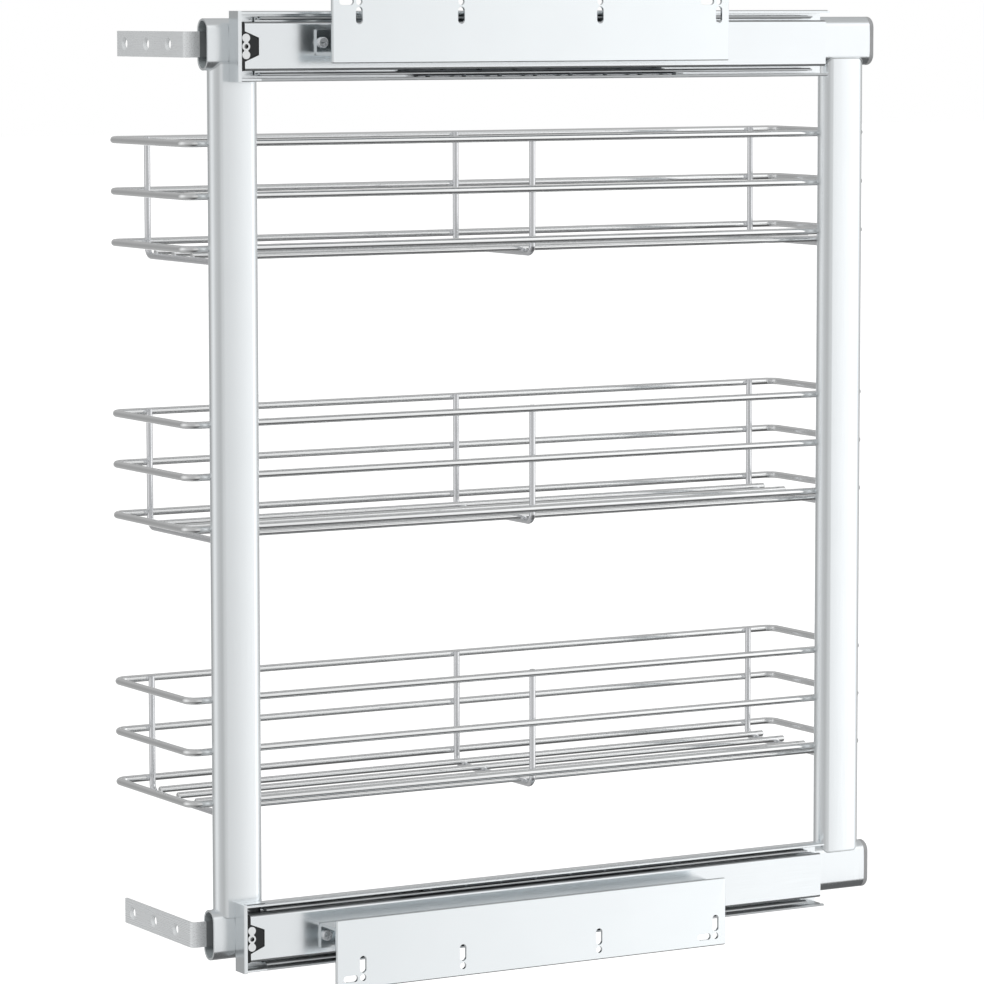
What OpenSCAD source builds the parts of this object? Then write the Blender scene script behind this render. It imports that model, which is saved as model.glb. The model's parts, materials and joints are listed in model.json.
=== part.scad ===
/* [Oval tube frame] */
// Distance between the axes of the two posts
post_spacing = 466.6; // [420:0.1:540]
// Distance between the axes of the two rails
rail_pitch = 572.6; // [560:0.1:900]
// Size of the post tube from front to back
post_depth = 33.6; // [25:0.1:38]
// Height of the rail tube
rail_height = 33; // [30:0.5:40]
// Thickness of post and rail tube from side to side
tube_thick = 15; // [12:0.5:20]
// Wall of the tubes
tube_wall = 1.5; // [1:0.1:2]
// How far the rails run out in front of the front post's axis
rail_front = 20.7; // [20:0.1:26]
// How far the rails run out behind the rear post's axis
rail_rear = 19.4; // [20:0.1:40]
// How far the posts' ends wrap round the rails
saddle_depth = 5; // [2:0.5:6]
// Gap that the weld fills between post and rail
weld_gap = 0.05; // [0.02:0.01:0.1]

/* [Rail end caps] */
// Thickness of the cap outside the tube
cap_flange = 3.6; // [2:0.1:6]
// Radius of the cap's outer edge
cap_edge = 1.4; // [0.5:0.1:1.8]
// How far the cap's plug goes into the tube
cap_plug = 12; // [6:1:20]
// Gap round the cap's plug
cap_gap = 0.1; // [0.05:0.05:0.3]

/* [Door brackets] */
// Height of the bracket strip
strip_height = 16.5; // [12:0.5:17]
// Thickness of the bracket strip
strip_thick = 2; // [1.5:0.1:3]
// Length of the leg that the door is screwed to
door_leg = 99.6; // [96:0.1:130]
// How far the door leg's face lies in front of the rails
door_reach = 10.3; // [6:0.1:20]
// Length of the bracket leg inside the rail, from the rail's front end
rail_leg = 42; // [20:1:60]
// Outer radius of the bracket's bend
strip_bend = 3.5; // [2.5:0.1:4]
// Distance from the bend to the first door screw hole
door_hole_start = 24.2; // [12:0.1:26]
// Distance from one door screw hole to the next
door_hole_pitch = 32; // [25:1:32]
// Diameter of the door screw holes
door_hole_d = 5.2; // [4:0.1:6]
// Diameter of their countersinks on the door side
door_sink_d = 8.4; // [7:0.1:10]
// Depth of the countersinks
door_sink_depth = 1.4; // [1:0.1:1.5]

/* [Baskets] */
// Length of a basket between the centres of its end wires
basket_length = 521.4; // [500:0.1:560]
// Width of a basket between the centres of its side wires
basket_width = 111.9; // [90:0.1:150]
// How far the front end wires lie in front of the front post's axis
basket_front = 28.2; // [24:0.1:30]
// Drop from the upper rail's axis to the top basket's rim
top_basket_drop = 62.9; // [50:0.1:70]
// Drop from the upper rail's axis to the middle basket's rim
middle_basket_drop = 242.8; // [220:0.1:260]
// Drop from the upper rail's axis to the bottom basket's rim
bottom_basket_drop = 421; // [400:0.1:440]
// Distance from one ring of a basket down to the next
ring_pitch = 33.65; // [25:0.05:45]
// Diameter of the ring wires
ring_wire_d = 4.7; // [4:0.1:6.5]
// Bend radius at the rings' corners, to the wire's centre
ring_bend = 7.5; // [7:0.5:25]
// Diameter of the cross wires
cross_wire_d = 4.2; // [3.6:0.1:6]
// Bend radius of the cross wires, to the wire's centre
cross_bend = 6; // [4:0.5:12]
// How far the cross wires' ends stay below the top of the rim wire
cross_drop = 0.3; // [0:0.1:1.5]
// Distance from the front post's axis forward to the front cross wire
cross_front = 3.4; // [0:0.1:12]
// Distance between the front and the rear cross wire
cross_span = 473.5; // [440:0.1:490]
// Share of that span at which the middle cross wire lies
cross_middle = 0.493; // [0.4:0.001:0.6]
// Diameter of the floor wires
floor_wire_d = 4.3; // [3.6:0.1:6]
// Distance from one floor wire to the next
floor_pitch = 27; // [20:0.1:29]
// How many floor wires a basket has
floor_count = 4; // [2:1:4]
// How far the floor wires' centres lie below the lower ring's centre
floor_drop = 6.1; // [5.7:0.1:12]
// How far the floor wires run out in front of the front cross wire's centre
floor_front = 0.4; // [0:0.1:4]
// How far the floor wires run out behind the rear cross wire's centre
floor_rear = 5.4; // [1:0.1:8]
// How far the floor wires are melted into the cross wires
floor_sink = 1.1; // [0.2:0.1:2]
// How far other wires are melted into what they are welded to
weld_sink = 0.1; // [0.05:0.05:0.3]

/* [Ball slides] */
// Length of a closed slide
slide_length = 449.5; // [440:0.5:470]
// Thickness of a slide
slide_thick = 12.7; // [12.7:0.1:13.5]
// How far a slide's front lies in front of the front post's axis
slide_front = 5.5; // [0:0.1:12]
// How far a slide's middle lies below its rail's axis
slide_drop = 1.25; // [0:0.05:3]
// Full travel of a slide
travel = 450; // [300:1:450]
// Height of the outer channel over its lips
channel_height = 43.4; // [43.4:0.1:46]
// Wall of the outer channel
channel_wall = 1.3; // [1.2:0.1:1.4]
// Height of the plate at the channel's front
front_plate_height = 44.8; // [44:0.1:50]
// Thickness of the plate at the channel's front
front_plate_thick = 2.6; // [1.5:0.1:4]
// Height of the middle member
middle_height = 36.8; // [36.6:0.1:37]
// Wall of the middle member
middle_wall = 1.1; // [1:0.1:1.2]
// How far the middle member lies behind the slide's front
middle_setback = 16.5; // [6:0.5:20]
// Length of the middle member
middle_length = 419.4; // [410:0.1:428]
// How far the middle member's lips stay behind the slide's face
middle_recess = 0.4; // [0.2:0.1:1]
// Height of the inner member
inner_height = 30.9; // [30.7:0.1:31.1]
// Wall of the inner member
inner_wall = 1.2; // [1:0.1:1.3]
// Outer corner radius of the inner member
inner_corner = 1.9; // [1.6:0.1:3]
// How far the inner member lies behind the slide's front
inner_setback = 4.8; // [4:0.1:8]
// Length of the inner member
inner_length = 441.7; // [430:0.1:441.7]
// Depth of the notch in the inner member's front
notch_depth = 10; // [9:0.1:16]
// Width of the notch at its mouth
notch_mouth = 20; // [16:0.5:26]
// Width of the notch at its bottom
notch_floor = 11; // [8:0.5:14]
// Size of the cut corners at the inner member's rear
rear_chamfer = 3; // [1:0.5:6]

/* [Balls and cages] */
// Diameter of the outer balls
outer_ball_d = 3.2; // [3:0.1:3.3]
// Diameter of the inner balls
inner_ball_d = 2.4; // [2.2:0.1:2.5]
// Gap between a ball and what it rolls or sits in
ball_gap = 0.05; // [0.02:0.01:0.08]
// Distance from the slide's face back to the outer balls
outer_ball_inset = 3.6; // [3.4:0.1:3.8]
// Length of a ball cage
cage_length = 200; // [120:1:200]
// Sheet thickness of the cages
cage_wall = 0.5; // [0.4:0.1:0.5]
// Gap between a cage and the webs beside it
cage_gap = 0.3; // [0.25:0.05:0.35]
// Balls in each row
ball_count = 8; // [4:1:10]
// Distance from a cage's end to its first ball
ball_end_inset = 6; // [4:0.5:10]

/* [End stops] */
// Gap between the end stop and the inner member
stop_gap = 0.3; // [0.2:0.1:0.8]
// Thickness of the end stop behind the slide's face
stop_thick = 5.5; // [3:0.1:5.5]
// How far the end stop lies behind the slide's face
stop_recess = 0.4; // [0.2:0.1:1]
// Corner radius of the end stop's nose
stop_corner = 2; // [0.8:0.1:2]
// Diameter of the clip's lobes
lobe_d = 5.4; // [4:0.1:6]
// Distance between the clip's middle and its upper or lower lobe
lobe_pitch = 5.35; // [4.5:0.05:6]
// Thickness of the clip
clip_thick = 1; // [0.6:0.1:1.5]
// Diameter of the hole in the clip's middle
clip_hole_d = 2.8; // [1.5:0.1:3]
// Diameter of the clip's pin
clip_pin_d = 3.6; // [3.2:0.1:4]
// Length of the clip's pin
clip_pin = 3; // [1.5:0.1:3.5]

/* [Cabinet brackets] */
// Distance from the cabinet wall to the slides' faces
standoff = 23.3; // [18:0.1:40]
// Length of the mount plates and angles
plate_length = 298.5; // [297:0.1:340]
// Height of the mount plates
plate_height = 45.8; // [44:0.1:60]
// Thickness of the mount plates
plate_thick = 2; // [1.5:0.1:3]
// Corner radius of the mount plates
plate_corner = 1; // [0.5:0.1:3]
// How far the plates' front edge lies behind the front post's axis
plate_setback = 49.5; // [40:0.1:60]
// Distance from a slide's middle to its plate's inner edge
plate_offset = 10.8; // [10:0.1:16]
// Distance from a plate's inner edge to its row of round holes
hole_row = 39; // [38:0.1:41]
// Diameter of the round holes
round_hole_d = 4.5; // [4:0.1:5]
// Distance from the plate's front edge to the first round hole
first_hole = 19.4; // [18:0.1:22]
// Distance from the plate's front edge to the second round hole
second_hole = 93.9; // [80:0.1:110]
// Distance from the plate's front edge to the third round hole
third_hole = 198.3; // [180:0.1:220]
// Distance from the plate's front edge to the fourth round hole
fourth_hole = 290.4; // [286:0.1:291]
// Distance from a plate's inner edge to the middle of the upright slots
slot_row = 30.2; // [28:0.1:30.4]
// Length of the upright slots
slot_length = 11; // [8:0.1:11]
// Width of the upright slots
slot_width = 4.8; // [4:0.1:5]
// Distance from a round hole forward to the level slot beside it
level_slot_offset = 9.1; // [8.8:0.1:10]
// Length of the level slots
level_slot_length = 10.4; // [8:0.1:11]
// Width of the level slots
level_slot_width = 4.4; // [4:0.1:5]
// Sheet thickness of the mount angles
angle_thick = 2; // [1.5:0.1:2.5]
// Height of the angles' leg on the slide
angle_leg = 16.5; // [14:0.1:17]
// Distance from the slide's middle to the angle's arm
angle_offset = 6; // [5:0.1:8]
// Outer bend radius of the angles
angle_bend = 2.5; // [2.5:0.1:4]
// Screws in each angle
bracket_screw_count = 4; // [2:1:6]
// Distance from the angle's end to its first screw
bracket_screw_inset = 4; // [3.8:0.1:20]

/* [Small fasteners] */
// Shank diameter of the bracket screws
screw_d = 4; // [3.5:0.1:4.5]
// Head diameter of the bracket screws
screw_head_d = 7; // [6:0.1:7.6]
// Head height of the bracket screws
screw_head = 2.2; // [1.8:0.1:3]
// Width of the cross slot in the heads
cross_slot_width = 1; // [0.6:0.1:1.4]
// Length of the cross slot in the heads
cross_slot_length = 4; // [3:0.1:5]
// Depth of the cross slot in the heads
cross_slot_depth = 1.2; // [0.6:0.1:1.4]
// How far the screws stick out behind the inner member's web
screw_tip = 2.5; // [1:0.1:3]
// Gap round a screw or rivet in its thread or drilled hole
thread_gap = 0.02; // [0.01:0.01:0.05]
// Gap round a screw in a clearance hole
screw_gap = 0.25; // [0.1:0.05:0.4]
// Shank diameter of the channel rivets
rivet_d = 4.4; // [3.6:0.1:4.8]
// Diameter of the rivets' countersunk heads
rivet_head_d = 7.4; // [6.5:0.1:8]
// Diameter of the rivets' closed ends inside the rail
rivet_bulb_d = 6.4; // [5.6:0.1:7]
// Length of the rivets' closed ends inside the rail
rivet_bulb = 3; // [2:0.1:4]
// Rivets in each channel
rivet_count = 3; // [2:1:5]
// Distance from the channel's ends to its first and last rivet
rivet_inset = 36; // [20:1:80]

/* [Hidden] */

SIDES = [-1, 1];
SMOOTH = 48;
// A cut runs this much past the face that it opens
past = 1;

// The origin lies on the lower plate's wall face, midway between its end round holes
plate_front_y = -(first_hole + fourth_hole) / 2;
front_post_y = plate_front_y - plate_setback;
rear_post_y = front_post_y + post_spacing;
slide_face_x = -standoff;
rail_face_x = slide_face_x - slide_thick;
rail_x = rail_face_x - tube_thick / 2;
post_far_x = rail_x - tube_thick / 2;
slide_front_y = front_post_y - slide_front;
lower_slide_z = hole_row - plate_offset;
lower_rail_z = lower_slide_z + slide_drop;
upper_rail_z = lower_rail_z + rail_pitch;
upper_slide_z = upper_rail_z - slide_drop;
rail_front_y = front_post_y - rail_front;
rail_rear_y = rear_post_y + rail_rear;

top_basket_z = upper_rail_z - top_basket_drop;
middle_basket_z = upper_rail_z - middle_basket_drop;
bottom_basket_z = upper_rail_z - bottom_basket_drop;
ring_near_x = post_far_x - ring_wire_d / 2 + weld_sink;
basket_x = ring_near_x - basket_width / 2;
basket_y = front_post_y - basket_front + basket_length / 2;
cross_inset = (ring_wire_d + cross_wire_d) / 2 - weld_sink;
cross_width = basket_width - 2 * cross_inset;
cross_front_y = front_post_y - cross_front;
cross_places = [0, cross_middle * cross_span, cross_span];
floor_level = -2 * ring_pitch - floor_drop;
cross_level = floor_level - (floor_wire_d + cross_wire_d) / 2 + floor_sink;
cross_top = ring_wire_d / 2 - cross_drop;

// Depths in a slide are measured from the rail's face towards the cabinet wall
outer_cage_depth = channel_wall + cage_gap;
middle_depth = outer_cage_depth + cage_wall + cage_gap;
inner_cage_depth = middle_depth + middle_wall + cage_gap;
inner_depth = inner_cage_depth + cage_wall + cage_gap;
outer_race_r = outer_ball_d / 2 + ball_gap;
inner_race_r = inner_ball_d / 2 + ball_gap;
outer_ball_depth = slide_thick - outer_ball_inset;
inner_ball_depth = inner_depth + inner_race_r;
outer_ball_height = (channel_height / 2 - channel_wall + middle_height / 2) / 2;
inner_ball_height = (middle_height / 2 - middle_wall + inner_height / 2) / 2;
middle_end_depth = slide_thick - middle_recess;
inner_web_depth = slide_thick - inner_wall;
outer_strip_end = outer_ball_depth + outer_race_r + cage_wall;
inner_strip_end = inner_ball_depth + inner_race_r + cage_wall;

// A cage rests in the middle of what the members on both sides of it share at full travel
outer_shared_mid = (middle_setback - travel / 2 + slide_length - travel) / 2;
outer_cage_y = outer_shared_mid + 3 / 4 * travel - cage_length / 2;
inner_shared_mid = (inner_setback + middle_setback + middle_length - travel / 2) / 2;
inner_cage_y = inner_shared_mid + travel / 4 - cage_length / 2;
ball_step = (cage_length - 2 * ball_end_inset) / (ball_count - 1);

stop_face_depth = slide_thick - stop_recess;
nose_end = inner_setback + notch_depth - stop_gap;
clip_y = front_plate_thick + lobe_d / 2 + stop_gap;
rivet_step = (slide_length - 2 * rivet_inset) / (rivet_count - 1);
screw_step = (plate_length - 2 * bracket_screw_inset) / (bracket_screw_count - 1);
// The screws sit in the middle of the angle's leg
screw_offset = angle_leg / 2 - angle_offset;
strip_x = post_far_x + tube_wall + strip_thick;
strip_face_y = rail_front_y - door_reach;

PALE_STEEL = [0.93, 0.95, 0.96];
TUBE_STEEL = [0.86, 0.88, 0.90];
CHROME = [0.72, 0.75, 0.77];
CAGE_STEEL = [0.45, 0.47, 0.49];
CAP_GREY = [0.60, 0.61, 0.62];
STOP_BLACK = [0.12, 0.14, 0.15];
CLIP_WHITE = [0.90, 0.92, 0.93];

// Extrudes a sketch, whose second axis is upright, along the pull direction
module along_y(from, to)
    translate([0, to, 0]) rotate([90, 0, 0]) linear_extrude(to - from) children();

// Extrudes a sketch of the YZ plane towards the cabinet wall
module along_x(from, to)
    translate([from, 0, 0]) rotate([90, 0, 90]) linear_extrude(to - from) children();

// An oval outline with its long side along the sketch's second axis
module oval(length, width) {
    straight = length - width;
    square([width, straight], center = true);
    for (side = SIDES)
        translate([0, side * straight / 2]) circle(d = width, $fn = SMOOTH);
}

// A rectangle with round corners, from the sketch's origin
module rounded_plate(size, corner) {
    translate([corner, 0]) square([size[0] - 2 * corner, size[1]]);
    translate([0, corner]) square([size[0], size[1] - 2 * corner]);
    for (x = [corner, size[0] - corner], y = [corner, size[1] - corner])
        translate([x, y]) circle(r = corner, $fn = SMOOTH);
}

// A bent strip in the sketch plane: one leg along the first axis, one along the second
module bent_strip(first_leg, second_leg, thick, bend) {
    translate([bend, 0]) square([first_leg - bend, thick]);
    translate([0, bend]) square([thick, second_leg - bend]);
    intersection() {
        square(bend);
        translate([bend, bend]) difference() {
            circle(r = bend, $fn = SMOOTH);
            circle(r = bend - thick, $fn = SMOOTH);
        }
    }
}

// A bar along the cabinet's width, from the origin
module turned_bar(length, d)
    rotate([0, 90, 0]) cylinder(h = length, d = d, $fn = SMOOTH);

// Places a slide's piece at its level
module at_slide(level)
    translate([rail_face_x, slide_front_y, level]) children();

module at_rivets()
    for (i = [0 : rivet_count - 1])
        translate([0, rivet_inset + i * rivet_step, 0]) children();

// Repeats a sketch piece at both ball rows of a slide's section
module at_rows(depth, height)
    for (side = SIDES)
        translate([depth, side * height]) children();

module rail(level)
    color(TUBE_STEEL)
        difference() {
            translate([rail_x, 0, level])
                along_y(rail_front_y, rail_rear_y)
                    difference() {
                        oval(rail_height, tube_thick);
                        oval(rail_height - 2 * tube_wall, tube_thick - 2 * tube_wall);
                    }
            at_slide(level == lower_rail_z ? lower_slide_z : upper_slide_z)
                at_rivets()
                    translate([-tube_thick / 2, 0, 0])
                        turned_bar(tube_thick / 2 + past, rivet_d + 2 * thread_gap);
        }

module rail_cap(level) {
    half = (rail_height - tube_thick) / 2;
    color(CAP_GREY)
        translate([rail_x, rail_rear_y, level]) {
            along_y(-cap_plug, 0)
                oval(rail_height - 2 * tube_wall - 2 * cap_gap, tube_thick - 2 * tube_wall - 2 * cap_gap);
            for (side = SIDES)
                translate([0, 0, side * half])
                    rotate([-90, 0, 0]) rotate_extrude($fn = SMOOTH) cap_profile();
            translate([0, 0, -half])
                linear_extrude(2 * half) {
                    cap_profile();
                    mirror([1, 0]) cap_profile();
                }
        }
}

// Half of the cap's section, with its outer edge rounded
module cap_profile() {
    half = tube_thick / 2;
    square([half - cap_edge, cap_flange]);
    square([half, cap_flange - cap_edge]);
    intersection() {
        translate([half - cap_edge, cap_flange - cap_edge]) circle(r = cap_edge, $fn = SMOOTH);
        square([half, cap_flange]);
    }
}

module post(axis_y) {
    bottom = lower_rail_z + rail_height / 2 - saddle_depth;
    top = upper_rail_z - rail_height / 2 + saddle_depth;
    color(TUBE_STEEL)
        difference() {
            translate([rail_x, axis_y, bottom])
                linear_extrude(top - bottom)
                    difference() {
                        oval(post_depth, tube_thick);
                        oval(post_depth - 2 * tube_wall, tube_thick - 2 * tube_wall);
                    }
            for (level = [lower_rail_z, upper_rail_z])
                translate([rail_x, 0, level])
                    along_y(axis_y - post_depth, axis_y + post_depth)
                        oval(rail_height + 2 * weld_gap, tube_thick + 2 * weld_gap);
        }
}

module door_bracket(level)
    color(CHROME)
        translate([strip_x, strip_face_y, level])
            difference() {
                translate([0, 0, -strip_height / 2])
                    linear_extrude(strip_height)
                        mirror([1, 0])
                            bent_strip(door_leg, door_reach + rail_leg, strip_thick, strip_bend);
                for (i = [0 : 2])
                    translate([-door_hole_start - i * door_hole_pitch, 0, 0])
                        rotate([-90, 0, 0]) {
                            translate([0, 0, -past])
                                cylinder(h = strip_thick + 2 * past, d = door_hole_d, $fn = SMOOTH);
                            cylinder(h = door_sink_depth, d1 = door_sink_d, d2 = door_hole_d, $fn = SMOOTH);
                        }
            }

module basket_ring(level) {
    length = basket_length - 2 * ring_bend;
    width = basket_width - 2 * ring_bend;
    color(CHROME)
        translate([basket_x, basket_y, level]) {
            for (side = SIDES) {
                translate([side * basket_width / 2, length / 2, 0])
                    rotate([90, 0, 0]) cylinder(h = length, d = ring_wire_d, $fn = SMOOTH);
                translate([-width / 2, side * basket_length / 2, 0])
                    turned_bar(width, ring_wire_d);
            }
            for (corner = [[1, 1, 0], [-1, 1, 90], [-1, -1, 180], [1, -1, 270]])
                translate([corner[0] * width / 2, corner[1] * length / 2, 0])
                    rotate([0, 0, corner[2]])
                        wire_bend(ring_bend, ring_wire_d);
        }
}

// A quarter turn of wire round the origin, in the first quadrant
module wire_bend(radius, d)
    rotate_extrude(angle = 90, $fn = SMOOTH)
        translate([radius, 0]) circle(d = d, $fn = SMOOTH);

module cross_wires(rim)
    color(CHROME)
        for (place = cross_places)
            translate([basket_x, cross_front_y + place, rim])
                cross_wire();

// One wire bent into a U, open at the top
module cross_wire() {
    leg = cross_top - cross_level - cross_bend;
    floor_width = cross_width - 2 * cross_bend;
    for (side = SIDES)
        translate([side * cross_width / 2, 0, cross_level + cross_bend])
            cylinder(h = leg, d = cross_wire_d, $fn = SMOOTH);
    translate([-floor_width / 2, 0, cross_level])
        turned_bar(floor_width, cross_wire_d);
    for (side = SIDES)
        translate([side * floor_width / 2, 0, cross_level + cross_bend])
            rotate([90, side > 0 ? 90 : 180, 0])
                wire_bend(cross_bend, cross_wire_d);
}

module floor_wires(rim)
    color(CHROME)
        for (i = [0 : floor_count - 1])
            translate([
                basket_x + (i - (floor_count - 1) / 2) * floor_pitch,
                cross_front_y - floor_front,
                rim + floor_level
            ])
                rotate([-90, 0, 0])
                    cylinder(h = floor_front + cross_span + floor_rear, d = floor_wire_d, $fn = SMOOTH);

module channel_section()
    difference() {
        union() {
            translate([0, -channel_height / 2]) square([slide_thick, channel_height]);
            at_rows(outer_ball_depth, outer_ball_height)
                circle(r = outer_race_r + channel_wall, $fn = SMOOTH);
        }
        translate([channel_wall, channel_wall - channel_height / 2])
            square([slide_thick, channel_height - 2 * channel_wall]);
        at_rows(outer_ball_depth, outer_ball_height)
            circle(r = outer_race_r, $fn = SMOOTH);
    }

module outer_channel(level)
    color(PALE_STEEL)
        at_slide(level)
            difference() {
                union() {
                    along_y(front_plate_thick, slide_length) channel_section();
                    translate([0, 0, -front_plate_height / 2])
                        cube([slide_thick, front_plate_thick, front_plate_height]);
                }
                at_rivets() {
                    translate([-past, 0, 0]) turned_bar(channel_wall + past, rivet_d + 2 * thread_gap);
                    rivet_head(thread_gap);
                }
            }

// The cone of a countersunk rivet head, flush with the channel's web
module rivet_head(gap)
    rotate([0, 90, 0])
        cylinder(h = channel_wall, d1 = rivet_d + 2 * gap, d2 = rivet_head_d + 2 * gap, $fn = SMOOTH);

module channel_rivets(level)
    color(CAGE_STEEL)
        at_slide(level)
            at_rivets() {
                rivet_head(0);
                translate([-tube_wall, 0, 0]) turned_bar(tube_wall, rivet_d);
                translate([-tube_wall - rivet_bulb, 0, 0]) turned_bar(rivet_bulb, rivet_bulb_d);
            }

module middle_section()
    difference() {
        union() {
            translate([middle_depth, -middle_height / 2])
                square([middle_end_depth - middle_depth, middle_height]);
            at_rows(inner_ball_depth, inner_ball_height)
                circle(r = inner_race_r + middle_wall, $fn = SMOOTH);
        }
        difference() {
            translate([middle_depth + middle_wall, middle_wall - middle_height / 2])
                square([slide_thick, middle_height - 2 * middle_wall]);
            at_rows(outer_ball_depth, outer_ball_height)
                circle(r = outer_race_r + middle_wall, $fn = SMOOTH);
        }
        at_rows(outer_ball_depth, outer_ball_height) circle(r = outer_race_r, $fn = SMOOTH);
        at_rows(inner_ball_depth, inner_ball_height) circle(r = inner_race_r, $fn = SMOOTH);
    }

module middle_member(level)
    color(CAGE_STEEL)
        at_slide(level)
            along_y(middle_setback, middle_setback + middle_length)
                middle_section();

module inner_section() {
    round_depth = slide_thick - inner_corner;
    flat = inner_height / 2 - inner_corner;
    difference() {
        union() {
            translate([inner_depth, -inner_height / 2])
                square([round_depth - inner_depth, inner_height]);
            translate([round_depth, -flat]) square([inner_corner, 2 * flat]);
            at_rows(round_depth, flat) circle(r = inner_corner, $fn = SMOOTH);
        }
        difference() {
            translate([0, inner_wall - inner_height / 2])
                square([inner_web_depth, inner_height - 2 * inner_wall]);
            at_rows(inner_ball_depth, inner_ball_height)
                circle(r = inner_race_r + inner_wall, $fn = SMOOTH);
        }
        at_rows(inner_ball_depth, inner_ball_height) circle(r = inner_race_r, $fn = SMOOTH);
    }
}

module inner_member(level)
    color(PALE_STEEL)
        at_slide(level)
            difference() {
                along_y(inner_setback, inner_setback + inner_length) inner_section();
                along_x(inner_web_depth - past, slide_thick + past) front_notch();
                for (side = SIDES)
                    translate([inner_depth - past, inner_setback + inner_length, side * inner_height / 2])
                        rotate([45, 0, 0])
                            cube([slide_thick, rear_chamfer * sqrt(2), rear_chamfer * sqrt(2)], center = true);
                at_bracket_screws(level)
                    translate([slide_thick - inner_wall - past, 0, 0])
                        turned_bar(inner_wall + 2 * past, screw_d + 2 * thread_gap);
            }

// The notch's outline in the YZ plane
module front_notch()
    polygon([
        [inner_setback - past, -notch_mouth / 2],
        [inner_setback + notch_depth, -notch_floor / 2],
        [inner_setback + notch_depth, notch_floor / 2],
        [inner_setback - past, notch_mouth / 2]
    ]);

// Repeats a piece at each bracket screw, in the slide's own frame
module at_bracket_screws(level) {
    toward_plate = level == lower_slide_z ? -1 : 1;
    first = plate_front_y - slide_front_y + bracket_screw_inset;
    for (i = [0 : bracket_screw_count - 1])
        translate([0, first + i * screw_step, toward_plate * screw_offset]) children();
}

module bracket_screws(level) {
    reach = angle_thick + inner_wall + screw_tip;
    color(CAGE_STEEL)
        at_slide(level)
            at_bracket_screws(level)
                translate([slide_thick + angle_thick, 0, 0])
                    difference() {
                        union() {
                            translate([-reach, 0, 0]) turned_bar(reach, screw_d);
                            turned_bar(screw_head, screw_head_d);
                        }
                        translate([screw_head - cross_slot_depth, 0, 0])
                            cross_slot();
                    }
}

module cross_slot()
    for (turn = [0, 90])
        rotate([turn, 0, 0])
            translate([0, -cross_slot_length / 2, -cross_slot_width / 2])
                cube([screw_head, cross_slot_length, cross_slot_width]);

module inner_ball_cage(level)
    color(CAGE_STEEL)
        at_slide(level)
            ball_cage(inner_cage_y, inner_cage_depth, inner_strip_end, inner_ball_depth, inner_ball_height, inner_race_r);

module outer_ball_cage(level)
    color(CAGE_STEEL)
        at_slide(level)
            ball_cage(outer_cage_y, outer_cage_depth, outer_strip_end, outer_ball_depth, outer_ball_height, outer_race_r);

// A sheet bent into a C whose two arms hold the balls
module ball_cage(start, web_depth, arm_end, ball_depth, ball_height, hole_r)
    difference() {
        along_y(start, start + cage_length) {
            translate([web_depth, -ball_height - cage_wall / 2])
                square([cage_wall, 2 * ball_height + cage_wall]);
            for (side = SIDES)
                translate([web_depth, side * ball_height - cage_wall / 2])
                    square([arm_end - web_depth, cage_wall]);
        }
        at_balls(start, ball_depth, ball_height)
            cylinder(h = 2 * cage_wall, r = hole_r, center = true, $fn = SMOOTH);
    }

module at_balls(start, depth, height)
    for (i = [0 : ball_count - 1], side = SIDES)
        translate([depth, start + ball_end_inset + i * ball_step, side * height]) children();

module inner_balls(level)
    color(CHROME)
        at_slide(level)
            at_balls(inner_cage_y, inner_ball_depth, inner_ball_height)
                sphere(d = inner_ball_d, $fn = SMOOTH);

module outer_balls(level)
    color(CHROME)
        at_slide(level)
            at_balls(outer_cage_y, outer_ball_depth, outer_ball_height)
                sphere(d = outer_ball_d, $fn = SMOOTH);

// A strip on the channel's front plate with a nose that fills the inner member's notch
module end_stop(level)
    color(STOP_BLACK)
        at_slide(level)
            difference() {
                along_x(stop_face_depth - stop_thick, stop_face_depth) {
                    translate([front_plate_thick, -inner_height / 2])
                        square([inner_setback - stop_gap - front_plate_thick, inner_height]);
                    stop_nose();
                }
                translate([stop_face_depth - clip_pin, clip_y, 0])
                    turned_bar(clip_pin + past, clip_pin_d + 2 * thread_gap);
            }

// The nose's outline in the YZ plane, with its two rear corners rounded
module stop_nose() {
    mouth = notch_mouth / 2 - stop_gap;
    flat = notch_floor / 2 - stop_gap;
    start = inner_setback - stop_gap;
    slope = atan2(mouth - flat, nose_end - start);
    round_y = nose_end - stop_corner;
    round_z = flat - stop_corner * (1 - sin(slope)) / cos(slope);
    tangent_y = round_y + stop_corner * sin(slope);
    tangent_z = round_z + stop_corner * cos(slope);
    polygon([
        [front_plate_thick, -mouth], [start, -mouth], [tangent_y, -tangent_z], [round_y, -round_z],
        [round_y, round_z], [tangent_y, tangent_z], [start, mouth], [front_plate_thick, mouth]
    ]);
    translate([round_y - past, -round_z]) square([past + stop_corner, 2 * round_z]);
    for (side = SIDES)
        translate([round_y, side * round_z]) circle(r = stop_corner, $fn = SMOOTH);
}

// Three round lobes in a column on a short pin
module stop_clip(level)
    color(CLIP_WHITE)
        at_slide(level)
            difference() {
                union() {
                    along_x(stop_face_depth, stop_face_depth + clip_thick) {
                        for (i = [-1 : 1])
                            translate([clip_y, i * lobe_pitch]) circle(d = lobe_d, $fn = SMOOTH);
                        translate([clip_y - lobe_d / 4, -lobe_pitch])
                            square([lobe_d / 2, 2 * lobe_pitch]);
                    }
                    translate([stop_face_depth - clip_pin, clip_y, 0])
                        turned_bar(clip_pin, clip_pin_d);
                }
                translate([stop_face_depth - clip_pin / 2, clip_y, 0])
                    turned_bar(clip_pin + clip_thick, clip_hole_d);
            }

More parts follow.
